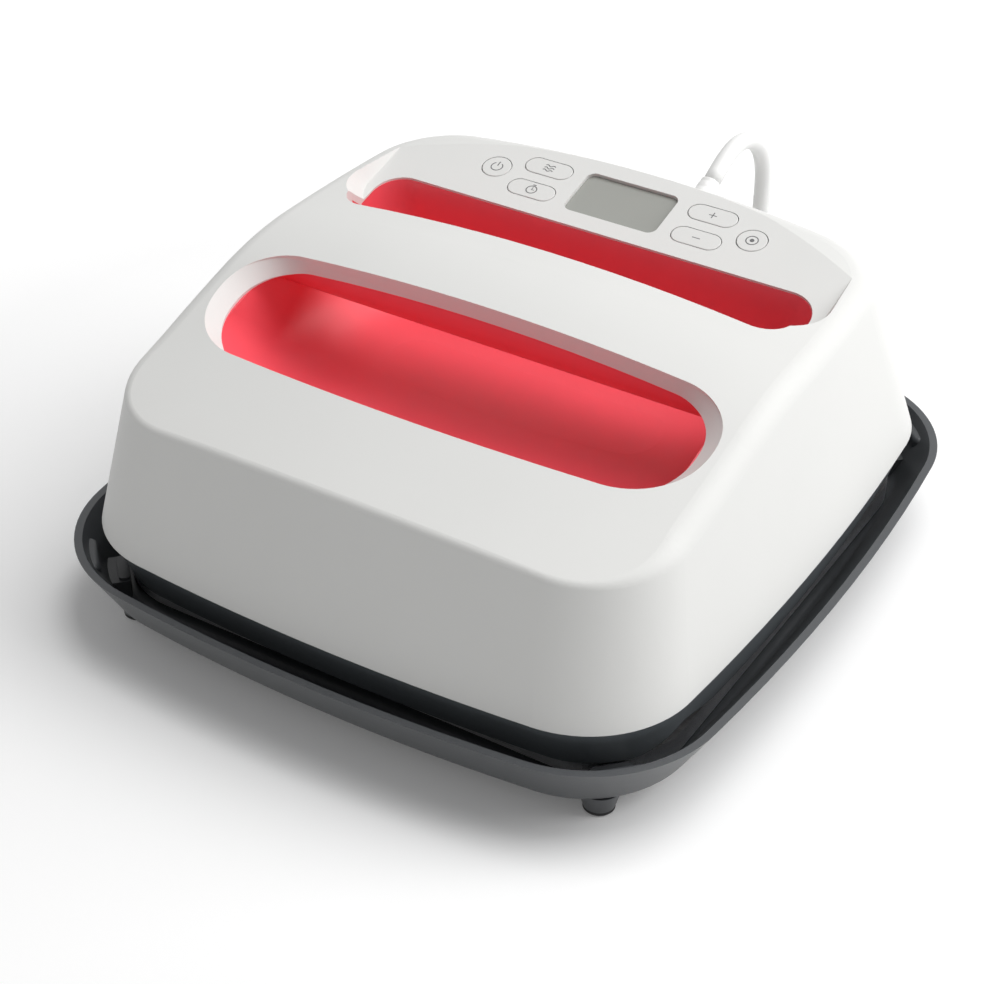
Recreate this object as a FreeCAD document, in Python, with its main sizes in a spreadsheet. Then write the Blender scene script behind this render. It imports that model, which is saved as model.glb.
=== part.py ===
import FreeCAD, Part
import math
import os
import Sketcher

# Hand heat press with its safety base, millimetres.
# +Z is up and the table is Z = 0. The front is -Y, the right side is +X.
# The origin is under the middle of the safety base.

Vec = FreeCAD.Vector
DOC = FreeCAD.newDocument("HandHeatPress")
SHEET = DOC.addObject("Spreadsheet::Sheet", "Sizes")

SIZES = {
    # safety base
    "tray_side_margin": 11.7,
    "tray_end_margin": 11.7,
    "tray_corner": 52.5,
    "tray_bow": 4.6,
    "tray_top": 32.0,
    "tray_floor": 8.0,
    "tray_wall": 3.0,
    "tray_taper": 14.0,
    "tray_turn": 9.0,
    "foot_side_inset": 36.2,
    "foot_end_inset": 32.8,
    "foot_radius": 5.6,
    "foot_flare": 2.2,
    "pad_height": 1.6,
    "rest_thick": 1.0,
    "rest_width": 4.0,
    "rest_length": 14.0,
    "rest_reach": 29.8,
    "guide_top": 28.5,
    "guide_width": 6.5,
    "guide_length": 20.0,
    "guide_reach": 40.9,
    # white shell
    "shell_bottom": 39.6,
    "shell_half_width": 122.5,
    "shell_half_depth": 131.1,
    "shell_corner": 41.6,
    "shell_bow": 3.7,
    "shell_wall": 2.5,
    "top_height": 122.9,
    "top_half_width": 108.0,
    "top_front": 111.7,
    "top_rear": 94.0,
    "top_corner": 34.0,
    "crown_radius": 746.0,
    "nose_round": 3.0,
    "shoulder_round": 9.0,
    "rear_round": 12.0,
    "nose_drop": 28.4,
    "nose_reach": 118.5,
    "slope_angle": 15.5,
    "slope_blend": 150.0,
    # front opening, rear slot and the tub between them
    "opening_half_width": 101.0,
    "opening_front": 81.0,
    "opening_length": 58.0,
    "opening_front_corner": 30.0,
    "opening_rear_corner": 22.0,
    "opening_bow": 4.0,
    "lip_depth": 6.4,
    "lip_lean": 1.0,
    "bevel_depth": 11.4,
    "bevel_side": 6.5,
    "bevel_front": 0.4,
    "bevel_rear": 2.4,
    "flange_depth": 6.6,
    "slot_half_width": 93.5,
    "slot_front": 16.0,
    "slot_rear": 53.6,
    "slot_corner": 12.0,
    "tub_floor": 68.0,
    "tub_wall": 2.0,
    "tub_drop": 23.9,
    "edge_thick": 0.8,
    "handle_drop": 9.0,
    "handle_wall": 2.4,
    # control deck
    "deck_angle": 13.8,
    "deck_y": 72.2,
    "deck_drop": 5.4,
    "deck_half_width": 97.5,
    "deck_front": 42.0,
    "deck_corner": 14.0,
    "deck_spread": 0.6,
    "window_length": 39.6,
    "window_width": 23.0,
    "window_corner": 3.6,
    "window_sink": 1.4,
    "lens_thick": 1.2,
    "round_spacing": 55.3,
    "round_radius": 6.1,
    "pill_across": 35.6,
    "pill_along": 6.9,
    "pill_length": 20.6,
    "pill_width": 9.4,
    "button_gap": 0.35,
    "button_travel": 0.6,
    "button_crown": 0.3,
    "stem_radius": 1.8,
    "board_depth": 9.2,
    "board_thick": 1.6,
    "board_length": 136.0,
    "board_width": 28.0,
    "switch_size": 6.0,
    "post_radius": 3.2,
    "post_length": 40.0,
    "screw_radius": 1.5,
    "head_radius": 2.8,
    # heated end
    "skirt_bottom": 20.0,
    "skirt_inset": 1.0,
    "skirt_taper": 5.0,
    "skirt_wall": 1.6,
    "skirt_lip": 2.5,
    "plate_bottom": 13.0,
    "plate_thick": 8.0,
    "plate_length": 228.6,
    "plate_corner": 34.0,
    "coating_thick": 0.4,
    "element_radius": 3.2,
    "element_across": 78.0,
    "element_turn": 26.0,
    "clamp_height": 2.0,
    "blanket_thick": 8.0,
    "pan_thick": 0.8,
    "frame_thick": 2.5,
    "post_side_inset": 19.5,
    "post_end_inset": 25.1,
    "power_lift": 8.0,
    "ear_radius": 6.0,
    "ear_thick": 3.0,
    # power lead
    "cord_radius": 3.5,
    "boot_length": 18.0,
    "boot_neck": 6.2,
    "cord_exit_across": 14.5,
    "cord_exit_drop": 22.9,
    "cord_exit_angle": 30.0,
    "plug_neck": 30.0,
    "coil_mid_radius": 36.0,
    "coil_pitch": 8.8,
    "coil_layer": 7.6,
    "coil_turns": 5.694,
    "coil_start": 20.0,
    "coil_x": -45.5,
    "coil_y": 196.0,
}
for _row, (_name, _value) in enumerate(SIZES.items(), start=1):
    SHEET.set("A%d" % _row, _name)
    SHEET.set("B%d" % _row, str(_value))
    SHEET.setAlias("B%d" % _row, _name)
DOC.recompute()

PARTS = []


def size(name):
    return float(getattr(SHEET, name))


def below_top(drop):
    """Height of something that keeps a named drop from the crown."""
    return size("top_height") - size(drop)


# Helpers for plain solids

def keep(obj, label):
    obj.Label = label
    PARTS.append(obj)
    return obj


def feature(label, shape):
    obj = DOC.addObject("Part::Feature", label)
    obj.Shape = shape
    obj.Placement = shape.Placement
    return keep(obj, label)


def bind(obj, **links):
    for prop, expression in links.items():
        obj.setExpression(prop, expression)


def deck_place(x=0.0, along=0.0, lift=0.0):
    """Placement in the tilted frame of the control deck."""
    turn = FreeCAD.Rotation(Vec(1, 0, 0), size("deck_angle"))
    base = Vec(0, size("deck_y"), below_top("deck_drop"))
    return FreeCAD.Placement(base + turn.multVec(Vec(x, along, lift)), turn)


def slope_place():
    """Placement at the front edge of the opening, tilted with the front slope."""
    turn = FreeCAD.Rotation(Vec(1, 0, 0), size("slope_angle"))
    rise = math.tan(math.radians(size("slope_angle")))
    height = below_top("nose_drop") + (size("nose_reach") - size("opening_front")) * rise
    return FreeCAD.Placement(Vec(0, -size("opening_front"), height), turn)


# Plan outlines: rounded rectangles whose sides bow out in long arcs

def corner_centre(side_centre, side_radius, end_centre, end_radius, radius):
    """Centre of the corner arc that touches the side arc and the end arc from inside."""
    near = side_radius - radius
    far = end_radius - radius
    gap = end_centre - side_centre
    along = (near ** 2 - far ** 2 + gap.Length ** 2) / (2 * gap.Length)
    off = math.sqrt(near ** 2 - along ** 2)
    axis = Vec(gap).normalize()
    across = Vec(axis.y, -axis.x, 0)
    found = [side_centre + axis * along + across * off * way for way in (1, -1)]
    return max(found, key=lambda point: point.x + point.y)


def corner_points(half, reach, middle, corner, bow):
    """Tangent points and middle of one corner arc, for the corner at +X and towards reach."""
    way = 1.0 if reach > middle else -1.0
    side_chord = abs(reach - middle) - corner
    end_chord = half - corner
    side_radius = (side_chord ** 2 + bow ** 2) / (2 * bow)
    end_radius = (end_chord ** 2 + bow ** 2) / (2 * bow)
    side_centre = Vec(half - side_radius, 0, 0)
    end_centre = Vec(0, abs(reach - middle) - end_radius, 0)
    centre = corner_centre(side_centre, side_radius, end_centre, end_radius, corner)
    on_side = side_centre + (centre - side_centre).normalize() * side_radius
    centre_end = Vec(centre) - end_centre
    on_end = end_centre + centre_end.normalize() * end_radius
    mid = centre + ((on_side - centre) + (on_end - centre)).normalize() * corner
    return [Vec(p.x, middle + way * p.y, 0) for p in (on_side, mid, on_end)]


def mirror(point):
    return Vec(-point.x, point.y, point.z)


def arc_wire(stops, height):
    """Wire of arcs and lines: each stop is (start, end) or (start, through, end)."""
    lift = Vec(0, 0, height)
    edges = []
    for stop in stops:
        points = [point + lift for point in stop]
        if len(points) == 2:
            edges.append(Part.makeLine(*points))
        else:
            edges.append(Part.Arc(*points).toShape())
    return Part.Wire(edges)


def plan_wire(half, front, rear, corner, bow, height):
    """Closed outline of eight arcs, from y = front to y = rear, at one height."""
    middle = (front + rear) / 2
    rear_side, rear_mid, rear_end = corner_points(half, rear, middle, corner, bow)
    front_side, front_mid, front_end = corner_points(half, front, middle, corner, bow)
    return arc_wire([
        (front_side, Vec(half, middle, 0), rear_side),
        (rear_side, rear_mid, rear_end),
        (rear_end, Vec(0, rear, 0), mirror(rear_end)),
        (mirror(rear_end), mirror(rear_mid), mirror(rear_side)),
        (mirror(rear_side), Vec(-half, middle, 0), mirror(front_side)),
        (mirror(front_side), mirror(front_mid), mirror(front_end)),
        (mirror(front_end), Vec(0, front, 0), front_end),
        (front_end, front_mid, front_side),
    ], height)


def mouth_wire(half, front, rear, front_corner, rear_corner, bow, height):
    """Outline with straight sides and rear, and a bowed front edge."""
    chord = half - front_corner
    big = (chord ** 2 + bow ** 2) / (2 * bow)
    heart = Vec(0, front + big, 0)
    near = Vec(chord, heart.y - math.sqrt((big - front_corner) ** 2 - chord ** 2), 0)
    touch = heart + (near - heart).normalize() * big
    side = Vec(half, near.y, 0)
    bulge = near + ((touch - near) + (side - near)).normalize() * front_corner
    back = Vec(half - rear_corner, rear - rear_corner, 0)
    diagonal = rear_corner * math.sqrt(0.5)
    back_mid = back + Vec(diagonal, diagonal, 0)
    side_end = Vec(half, back.y, 0)
    rear_end = Vec(back.x, rear, 0)
    return arc_wire([
        (side, side_end),
        (side_end, back_mid, rear_end),
        (rear_end, mirror(rear_end)),
        (mirror(rear_end), mirror(back_mid), mirror(side_end)),
        (mirror(side_end), mirror(side)),
        (mirror(side), mirror(bulge), mirror(touch)),
        (mirror(touch), Vec(0, front, 0), touch),
        (touch, bulge, side),
    ], height)


def loft(wires, ruled=True):
    return Part.makeLoft(wires, True, ruled)


def rounded(length, width, radius, height, centre=(0.0, 0.0), base=0.0):
    """Upright prism with a rounded rectangular plan."""
    block = Part.makeBox(length, width, height, Vec(centre[0] - length / 2, centre[1] - width / 2, base))
    upright = [e for e in block.Edges if abs(e.BoundBox.ZLength - height) < 1e-6]
    return block.makeFillet(radius, upright)


def pill(length, width, height, base=0.0):
    return rounded(length, width, width / 2 - 0.001, height, base=base)


def moved(shape, placement):
    copy = shape.copy()
    copy.Placement = placement.multiply(copy.Placement)
    return copy


# Safety base

def tray_half_width():
    return size("shell_half_width") + size("tray_side_margin")


def tray_half_depth():
    return size("shell_half_depth") + size("tray_end_margin")


def tray_outline(inset, height):
    return plan_wire(
        tray_half_width() - inset, inset - tray_half_depth(), tray_half_depth() - inset,
        size("tray_corner") - inset, size("tray_bow"), height)


def round_bottom(solid, height, radius):
    rim = [e for e in solid.Edges if abs(e.BoundBox.ZMin - height) < 1e-4 and e.BoundBox.ZLength < 1e-4]
    return solid.makeFillet(radius, rim)


def tray_spots():
    across = tray_half_width() - size("foot_side_inset")
    along = tray_half_depth() - size("foot_end_inset")
    return [Vec(x, y, 0) for x in (across, -across) for y in (along, -along)]


def corner_place(x_way, y_way):
    """Placement at the middle of one of the tray's corner arcs, +X out along the diagonal."""
    centre = Vec(x_way * (tray_half_width() - size("tray_corner")),
                 y_way * (tray_half_depth() - size("tray_corner")), 0)
    return FreeCAD.Placement(centre, FreeCAD.Rotation(Vec(0, 0, 1), math.degrees(math.atan2(y_way, x_way))))


def corner_places():
    return [corner_place(x_way, y_way) for x_way in (1, -1) for y_way in (1, -1)]


def rest_seat():
    """Height of the ledge that carries a rest pad under the skirt."""
    return size("skirt_bottom") - size("rest_thick")


def guide_post():
    """Round-topped post beside the skirt's corner, with the ledge that reaches under the skirt."""
    root = size("tray_floor") + size("tray_wall") / 2
    post = rounded(size("guide_width"), size("guide_length"), size("guide_width") / 2 - 0.05,
                   size("guide_top") - root, (size("guide_reach"), 0), root)
    top = [e for e in post.Edges if e.BoundBox.ZMin > size("guide_top") - 1e-3]
    post = post.makeFillet(2.0, top)
    inner = size("rest_reach") - size("rest_width") / 2 - 0.4
    ledge = rounded(size("guide_reach") - inner, size("rest_length") + 2.0, 1.5, rest_seat() - root,
                    ((size("guide_reach") + inner) / 2, 0), root)
    return post.fuse(ledge)


def make_tray():
    floor = size("tray_floor")
    wall = size("tray_wall")
    outer = loft([tray_outline(size("tray_taper"), floor), tray_outline(0, size("tray_top"))])
    outer = round_bottom(outer, floor, size("tray_turn"))
    inner = loft([
        tray_outline(size("tray_taper") + wall - 1.0, floor + wall),
        tray_outline(wall, size("tray_top"))])
    inner = round_bottom(inner, floor + wall, size("tray_turn") - wall)
    tray = outer.cut(inner)
    for place in corner_places():
        tray = tray.fuse(moved(guide_post(), place).common(outer))
    pad = size("pad_height")
    for spot in tray_spots():
        leg = Part.makeCone(size("foot_radius"), size("foot_radius") + size("foot_flare"),
                            floor + wall / 2 - pad, spot + Vec(0, 0, pad))
        tray = tray.fuse(leg)
    feature("base_tray", check_solid("base_tray", tray.removeSplitter()))


def make_foot_pads():
    pads = []
    for spot in tray_spots():
        pad = Part.makeCylinder(size("foot_radius"), size("pad_height"), spot)
        pads.append(pad.makeChamfer(0.5, [e for e in pad.Edges if e.BoundBox.ZMax < 1e-6]))
    feature("foot_pads", Part.makeCompound(pads))


def make_corner_rests():
    """Soft pads on the tray's four ledges, for the skirt to stand on."""
    pad = rounded(size("rest_width"), size("rest_length"), 1.5, size("rest_thick"),
                  (size("rest_reach"), 0), rest_seat())
    feature("corner_rests", Part.makeCompound([moved(pad, place) for place in corner_places()]))


# Skirt, heating plate and what lies on it

def skirt_outline(inset, height, grow=0.0):
    inset = inset + size("skirt_inset") - grow
    deeper = inset + inset * 0.6
    return plan_wire(
        size("shell_half_width") - inset, deeper - size("shell_half_depth"), size("shell_half_depth") - deeper,
        size("shell_corner") - inset, size("shell_bow"), height)


def plate_block(grow):
    """Tall prism with the plate's plan, grown by a margin."""
    length = size("plate_length") + 2 * grow
    return rounded(length, length, size("plate_corner") + grow, size("shell_bottom"))


def make_skirt():
    top = size("shell_bottom")
    low = size("skirt_bottom")
    wall = size("skirt_wall")
    outer = loft([skirt_outline(size("skirt_taper"), low), skirt_outline(0, top)])
    inner = loft([skirt_outline(size("skirt_taper"), low + size("skirt_lip"), -wall),
                  skirt_outline(0, top + 1, -wall)])
    mouth = plate_block(0.3)
    skirt = outer.cut(inner).cut(mouth)
    ledge = loft([skirt_outline(0, top - 3.0, -wall - 0.1), skirt_outline(0, top, -wall - 0.1)])
    ledge = ledge.cut(loft([skirt_outline(0, top - 4.0, -wall - 6.0), skirt_outline(0, top + 1, -wall - 6.0)]))
    skirt = skirt.fuse(ledge.common(outer))
    for spot in corner_post_spots():
        ear = Part.makeCylinder(size("ear_radius"), size("ear_thick"), spot + Vec(0, 0, top - size("ear_thick")))
        skirt = skirt.fuse(ear.common(outer))
        skirt = skirt.cut(Part.makeCylinder(size("screw_radius") + 0.2, 20, spot + Vec(0, 0, top - 10)))
    skirt = skirt.removeSplitter()
    feature("heat_skirt", skirt)


def plate_plane(body, role):
    return next(f for f in body.Origin.OriginFeatures if f.Role == role)


def new_sketch(body, name, role="XY_Plane", lift=None):
    sketch = body.newObject("Sketcher::SketchObject", name)
    sketch.AttachmentSupport = [(plate_plane(body, role), "")]
    sketch.MapMode = "FlatFace"
    if lift:
        sketch.setExpression("AttachmentOffset.Base.z", lift)
    return sketch


def add_rectangle(sketch, length, width):
    """Rectangle centred on the sketch's origin, its sides bound to two expressions."""
    corners = [Vec(-1, -1, 0), Vec(1, -1, 0), Vec(1, 1, 0), Vec(-1, 1, 0)]
    first = sketch.GeometryCount
    for start, end in zip(corners, corners[1:] + corners[:1]):
        sketch.addGeometry(Part.LineSegment(start * 10, end * 10), False)
    for side in range(4):
        sketch.addConstraint(Sketcher.Constraint(
            "Coincident", first + side, 2, first + (side + 1) % 4, 1))
    for side, kind in enumerate(("Horizontal", "Vertical", "Horizontal", "Vertical")):
        sketch.addConstraint(Sketcher.Constraint(kind, first + side))
    sketch.addConstraint(Sketcher.Constraint("Symmetric", first, 1, first + 1, 2, -1, 1))
    row = sketch.addConstraint(Sketcher.Constraint("DistanceX", first, 1, first, 2, 20.0))
    sketch.setExpression("Constraints[%d]" % row, length)
    row = sketch.addConstraint(Sketcher.Constraint("DistanceY", first + 1, 1, first + 1, 2, 20.0))
    sketch.setExpression("Constraints[%d]" % row, width)


def add_circle(sketch, radius, x, y):
    """Circle at a fixed spot, its radius bound to an expression."""
    index = sketch.addGeometry(Part.Circle(Vec(x, y, 0), Vec(0, 0, 1), 1.0), False)
    row = sketch.addConstraint(Sketcher.Constraint("Radius", index, 1.0))
    sketch.setExpression("Constraints[%d]" % row, radius)
    sketch.addConstraint(Sketcher.Constraint("DistanceX", -1, 1, index, 3, x))
    sketch.addConstraint(Sketcher.Constraint("DistanceY", -1, 1, index, 3, y))


def pad_body(label, outline, thick, corner=None, holes=None, placement=None):
    """A flat piece: outline padded up, upright edges rounded, round holes through it."""
    body = DOC.addObject("PartDesign::Body", label)
    sketch = new_sketch(body, label + "_outline")
    outline(sketch)
    pad = body.newObject("PartDesign::Pad", label + "_pad")
    pad.Profile = sketch
    bind(pad, Length=thick)
    DOC.recompute()
    last = pad
    if corner:
        upright = ["Edge%d" % (i + 1) for i, e in enumerate(pad.Shape.Edges)
                   if abs(e.BoundBox.ZLength - pad.Shape.BoundBox.ZLength) < 1e-6]
        last = body.newObject("PartDesign::Fillet", label + "_corners")
        last.Base = (pad, upright)
        bind(last, Radius=corner)
        DOC.recompute()
    if holes:
        punch = new_sketch(body, label + "_holes")
        holes(punch)
        pocket = body.newObject("PartDesign::Pocket", label + "_drill")
        pocket.Profile = punch
        pocket.Type = "ThroughAll"
        pocket.Midplane = True
        DOC.recompute()
        if pocket.Shape.Volume >= last.Shape.Volume - 1e-6:
            raise RuntimeError(label + ": the holes cut nothing")
        body.Tip = pocket
    if placement:
        body.Placement = placement
    return keep(body, label)


PLATE_SCREW_SPOTS = [(-88.0, -88.0), (88.0, -88.0), (-88.0, 88.0), (88.0, 88.0)]


def at_height(height):
    return FreeCAD.Placement(Vec(0, 0, height), FreeCAD.Rotation())


def make_plate():
    def square(sketch):
        add_rectangle(sketch, "Sizes.plate_length", "Sizes.plate_length")

    def threads(sketch):
        for x, y in PLATE_SCREW_SPOTS:
            add_circle(sketch, "Sizes.screw_radius + 0.05", x, y)

    pad_body("heat_plate", square, "Sizes.plate_thick", "Sizes.plate_corner", threads,
             at_height(size("plate_bottom")))
    pad_body("release_coating", square, "Sizes.coating_thick", "Sizes.plate_corner", None,
             at_height(size("plate_bottom") - size("coating_thick")))


def element_ends():
    """Where the two cold ends of the heating tube come up through the frame."""
    across = 3 * size("element_turn")
    return [(-across, size("element_across")), (across, size("element_across"))]


def element_end_height():
    return frame_top() + 6.0


def element_path(height):
    """Double loop of tube on the plate: straight runs, half turns and two upright ends."""
    across = size("element_across")
    turn = size("element_turn")
    bend = 8.0
    top = element_end_height()
    ends = [(-3, -1), (-1, -1), (-1, 0.5), (1, 0.5), (1, -1), (3, -1)]
    points = [Vec(a * turn, b * across, height) for a, b in ends]
    lean = bend * (1 - math.sqrt(0.5))
    edges = []
    left = Vec(-3 * turn, across, height)
    edges.append(Part.makeLine(left + Vec(0, 0, top - height), left + Vec(0, 0, bend)))
    edges.append(Part.Arc(left + Vec(0, 0, bend), left + Vec(0, -lean, lean), left + Vec(0, -bend, 0)).toShape())
    edges.append(Part.makeLine(left + Vec(0, -bend, 0), points[0]))
    for index in range(0, len(points), 2):
        a = points[index]
        b = points[index + 1]
        bulge = Vec(0, -turn if a.y < 0 else turn, 0)
        edges.append(Part.Arc(a, (a + b) * 0.5 + bulge, b).toShape())
        after = points[index + 2] if index + 2 < len(points) else mirror(left) + Vec(0, -bend, 0)
        edges.append(Part.makeLine(b, after))
    right = mirror(left)
    edges.append(Part.Arc(right + Vec(0, -bend, 0), right + Vec(0, -lean, lean), right + Vec(0, 0, bend)).toShape())
    edges.append(Part.makeLine(right + Vec(0, 0, bend), right + Vec(0, 0, top - height)))
    return Part.Wire(edges)


def make_element():
    radius = size("element_radius")
    height = size("plate_bottom") + size("plate_thick") + radius
    path = element_path(height)
    start = mirror(Vec(3 * size("element_turn"), size("element_across"), element_end_height()))
    ring = Part.Wire(Part.makeCircle(radius, start, Vec(0, 0, 1)))
    feature("heating_element", check_solid("heating_element", path.makePipeShell([ring], True, False)))
    strap_top = height + radius
    clamps = []
    for x in (-1, 1):
        for y in (-30.0, 30.0):
            middle = x * 2.0 * size("element_turn")
            bar = Part.makeBox(2 * size("element_turn") + 16, 8, size("clamp_height"),
                               Vec(middle - size("element_turn") - 8, y - 4, strap_top))
            for leg_x in (middle - 5.0,):
                leg = Part.makeBox(10, 8, 2 * radius, Vec(leg_x, y - 4, strap_top - 2 * radius))
                bar = bar.fuse(leg)
            clamps.append(bar.removeSplitter())
    feature("element_clamps", Part.makeCompound(clamps))


def make_blanket_and_pan():
    low = size("plate_bottom") + size("plate_thick") + 2 * size("element_radius") + size("clamp_height")
    thick = size("blanket_thick")
    wide = size("plate_length") - 14
    blanket = rounded(wide, wide, size("plate_corner") - 7, thick, base=low)
    for x, y in PLATE_SCREW_SPOTS:
        blanket = blanket.cut(Part.makeCylinder(6.0, thick + 2, Vec(x, y, low - 1)))
    for x, y in element_ends():
        blanket = blanket.cut(Part.makeCylinder(size("element_radius") + 1.5, thick + 2, Vec(x, y, low - 1)))
    feature("insulation_blanket", blanket)
    sheet_low = low + thick
    wall = size("pan_thick")
    outer = rounded(wide + 2 * wall, wide + 2 * wall, size("plate_corner") - 6, wall + 6.0, base=sheet_low - 6.0)
    inner = rounded(wide, wide, size("plate_corner") - 7, 6.0, base=sheet_low - 6.0)
    pan = outer.cut(inner)
    for x, y in PLATE_SCREW_SPOTS:
        pan = pan.cut(Part.makeCylinder(2.0, 20, Vec(x, y, sheet_low - 10)))
    for x, y in element_ends():
        pan = pan.cut(Part.makeCylinder(size("element_radius") + 1.5, 20, Vec(x, y, sheet_low - 10)))
    feature("heat_shield", pan)


def stack_top():
    """Height of the heat shield's upper face."""
    return (size("plate_bottom") + size("plate_thick") + 2 * size("element_radius")
            + size("clamp_height") + size("blanket_thick") + size("pan_thick"))


def make_plate_screws():
    low = size("plate_bottom") + size("plate_thick")
    top = stack_top()
    posts = []
    screws = []
    for x, y in PLATE_SCREW_SPOTS:
        tube = Part.makeCylinder(5.0, top - low - size("pan_thick"), Vec(x, y, low))
        bore = Part.makeCylinder(2.0, 40, Vec(x, y, low - 1))
        posts.append(tube.cut(bore))
        shank = Part.makeCylinder(size("screw_radius"), frame_top() - low + 6.0, Vec(x, y, low - 6.0))
        head = Part.makeCylinder(size("head_radius"), 2.0, Vec(x, y, frame_top()))
        screws.append(shank.fuse(head).removeSplitter())
    feature("plate_spacers", Part.makeCompound(posts))
    feature("plate_screws", Part.makeCompound(screws))


def make_sensors():
    top = size("plate_bottom") + size("plate_thick")
    body = Part.makeCylinder(4.5, 5.0, Vec(0, 10, top))
    cap = Part.makeCylinder(2.2, 2.0, Vec(0, 10, top + 5.0))
    feature("temperature_sensor", body.fuse(cap).removeSplitter())
    fuse = Part.makeCylinder(3.0, 12.0, Vec(-6, -66, top + 3.0), Vec(1, 0, 0))
    foot = Part.makeBox(8, 6, 1.5, Vec(-4, -69, top))
    feature("thermal_cutout", fuse.fuse(foot).removeSplitter())


# White shell: a tapered block under a crowned, sloping top

def shell_outline(height, inset):
    low = size("shell_bottom")
    share = (height - low) / (size("top_height") - low)

    def between(a, b):
        return a + (b - a) * share

    return plan_wire(
        between(size("shell_half_width"), size("top_half_width")) - inset,
        inset - between(size("shell_half_depth"), size("top_front")),
        between(size("shell_half_depth"), size("top_rear")) - inset,
        between(size("shell_corner"), size("top_corner")) - inset,
        size("shell_bow"), height)


def side_profile(drop):
    """Upper outline seen from the side: straight front slope, blend, level top."""
    rise = math.tan(math.radians(size("slope_angle")))
    top = size("top_height") - drop
    nose = Vec(0, -size("nose_reach"), below_top("nose_drop") - drop / math.cos(math.radians(size("slope_angle"))))
    turn_y = nose.y + (top - nose.z) / rise
    reach = size("slope_blend") * math.tan(math.radians(size("slope_angle") / 2))
    start = Vec(0, turn_y - reach * math.cos(math.radians(size("slope_angle"))),
                top - reach * math.sin(math.radians(size("slope_angle"))))
    end = Vec(0, turn_y + reach, top)
    heart = Vec(0, end.y, top - size("slope_blend"))
    half = math.radians(size("slope_angle") / 2)
    mid = heart + Vec(0, -math.sin(half), math.cos(half)) * size("slope_blend")
    far = 170.0
    low = size("shell_bottom") - 25.0
    front = Vec(0, -far, nose.z - (far - size("nose_reach")) * rise)
    rear = Vec(0, far, top)
    return Part.Wire([
        Part.makeLine(Vec(0, -far, low), front),
        Part.makeLine(front, start),
        Part.Arc(start, mid, end).toShape(),
        Part.makeLine(end, rear),
        Part.makeLine(rear, Vec(0, far, low)),
        Part.makeLine(Vec(0, far, low), Vec(0, -far, low)),
    ])


def crowned_block(drop):
    """The side profile swept across the press along a large arc, so the top is crowned."""
    axis = Vec(0, 0, size("top_height") - size("crown_radius"))
    face = Part.Face(side_profile(drop))
    swing = 12.0
    face.rotate(axis, Vec(0, 1, 0), -swing)
    return face.revolve(axis, Vec(0, 1, 0), 2 * swing)


def blank(inset, drop):
    low = size("shell_bottom")
    body = loft([shell_outline(low, inset), shell_outline(size("top_height") + 4.0, inset)])
    return body.common(crowned_block(drop))


def edge_radius(point, thinner):
    """Rounding by place along the press: crisp nose, soft shoulders, softer rear."""
    if point.y < -size("top_front") - 1.0:
        radius = size("nose_round")
    elif point.y < size("deck_y"):
        radius = size("shoulder_round")
    else:
        radius = size("rear_round")
    return max(radius - thinner, 0.5)


def rounded_blank(name, inset):
    """The blank with its upper edges rounded, as an object of the document."""
    base = DOC.addObject("Part::Feature", name + "_blank")
    base.Shape = blank(inset, inset)
    rounding = DOC.addObject("Part::Fillet", name + "_rounding")
    rounding.Base = base
    chosen = []
    for number, edge in enumerate(base.Shape.Edges, start=1):
        box = edge.BoundBox
        across_top = box.XLength > 180 and box.YLength < 1e-3
        if box.ZMin > below_top("nose_drop") - 8.0 and not across_top:
            ends = [edge.valueAt(edge.FirstParameter), edge.valueAt(edge.LastParameter)]
            chosen.append((number, edge_radius(ends[0], inset), edge_radius(ends[1], inset)))
    rounding.Edges = chosen
    DOC.recompute()
    return check_solid(name, rounding.Shape.Solids[0] if rounding.Shape.Solids else rounding.Shape)


def check_solid(name, shape):
    if shape.isNull() or not shape.isValid() or len(shape.Solids) != 1:
        raise RuntimeError(name + " is not one valid solid")
    return shape


def deck_wire(grow, lift):
    """Outline of the room above the deck; its sides and front lean outwards."""
    spread = grow + size("deck_spread") * lift
    return mouth_wire(size("deck_half_width") + spread, -size("deck_front") - spread, 60.0,
                      size("deck_corner") + spread, 5.0, 0.3, lift)


def deck_cut(sink, grow):
    """Room above the control deck, lowered by sink and widened by grow."""
    return moved(loft([deck_wire(grow, -sink), deck_wire(grow, 40.0)]), deck_place())


def opening_wire(side, front, rear, depth):
    """Outline of the front opening, drawn in by side, front and rear, depth below the slope."""
    return mouth_wire(
        size("opening_half_width") - side, front, size("opening_length") - rear,
        size("opening_front_corner") - side / 4, size("opening_rear_corner") - side / 4,
        size("opening_bow"), -depth)


def opening_cut():
    """The front opening in place: an upright lip, a bevel at the ends, a straight throat."""
    lean = size("lip_lean")
    side = size("bevel_side")
    front = size("bevel_front")
    rear = size("bevel_rear")
    cut = loft([
        opening_wire(0, 0, 0, -30.0),
        opening_wire(0, 0, 0, 0),
        opening_wire(0, front / 2, lean, size("lip_depth")),
        opening_wire(side, front, rear, size("bevel_depth")),
        opening_wire(side, front, rear, size("bevel_depth") + 30.0)])
    return moved(cut, slope_place())


def opening_flange():
    """Thickened edge of the shell round the front opening; its foot follows the crown."""
    wall = size("shell_wall")
    flange = loft([opening_wire(-wall, -wall, -wall, 4 * size("flange_depth")),
                   opening_wire(-wall, -wall, -wall, -30.0)])
    return moved(flange, slope_place()).cut(crowned_block(size("flange_depth")))


def slot_block(grow, low, high):
    front = size("slot_front") - grow
    rear = size("slot_rear") + grow
    half = size("slot_half_width") + grow
    return rounded(2 * half, rear - front, size("slot_corner") + grow, high - low,
                   centre=(0, (front + rear) / 2), base=low)


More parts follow.
